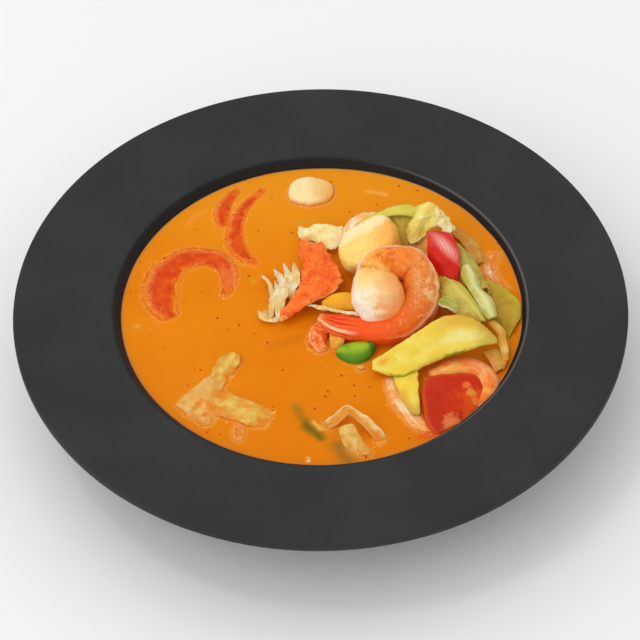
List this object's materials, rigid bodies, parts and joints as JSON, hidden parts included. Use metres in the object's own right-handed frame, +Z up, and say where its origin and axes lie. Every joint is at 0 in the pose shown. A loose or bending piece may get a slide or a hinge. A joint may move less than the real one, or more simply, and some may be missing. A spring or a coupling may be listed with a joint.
{
  "type": "bowl of panang curry",
  "caption": "Wide-rimmed dark stoneware bowl of creamy orange coconut curry, with curled prawns, scallops, peppers, courgette and cabbage heaped at one side.",
  "frame": {"origin": "middle of the foot ring's underside, on the surface the bowl stands on", "axes": "+Z up out of the bowl; +X towards the side where the food is heaped; +Y away from the viewer of the picture"},
  "size_m": [0.2808, 0.2808, 0.0655],
  "materials": {
    "stoneware": "matte charcoal stoneware with a fine leathery grain",
    "curry": "opaque creamy orange sauce, wet and glossy",
    "prawn": "cooked prawn flesh, orange red outside and cream inside, wet",
    "scallop": "cream flesh, finely fibrous, wet",
    "red_pepper": "glossy red skin",
    "green_pepper": "glossy green skin",
    "yellow_pepper": "glossy yellow",
    "courgette": "pale yellow flesh with a thin green skin, wet",
    "cabbage": "thin wet leaves with pale ribs",
    "crab_stick": "orange fibrous sheet with cream flecks, wet",
    "onion": "translucent, sauce coloured"
  },
  "bodies": {
    "root": {"bowl": "stoneware", "curry": "curry", "prawn_top": "prawn", "prawn_left": "prawn", "prawn_back": "prawn", "prawn_sliver": "prawn", "prawn_low_right": "prawn", "prawn_low_left": "prawn", "prawn_rim": "prawn", "prawn_behind": "prawn", "prawn_bit": "prawn", "scallop_top": "scallop", "scallop_floating": "scallop", "white_nub": "scallop", "red_pepper": "red_pepper", "red_pepper_low": "red_pepper", "green_pepper": "green_pepper", "yellow_pepper": "yellow_pepper", "courgette_top": "courgette", "courgette_end": "courgette", "crab_stick": "crab_stick", "ring_bit": "onion", "leaf_edge": "cabbage", "leaf_crumpled": "cabbage", "leaf_sunk": "cabbage", "leaf_fold": "cabbage", "leaf_rib": "cabbage", "leaf_right": "cabbage", "leaf_middle": "cabbage", "leaf_curl": "cabbage", "leaf_strip": "cabbage", "leaf_yellow": "cabbage", "leaf_behind_crab": "cabbage", "leaf_left": "cabbage", "leaf_left_lobe": "cabbage", "leaf_tent": "cabbage", "leaf_tent_fold": "cabbage", "leaf_tail": "cabbage", "pale_bit": "cabbage", "leaf_fringed": "cabbage", "leaf_loop": "cabbage"}
  },
  "joints": []
}
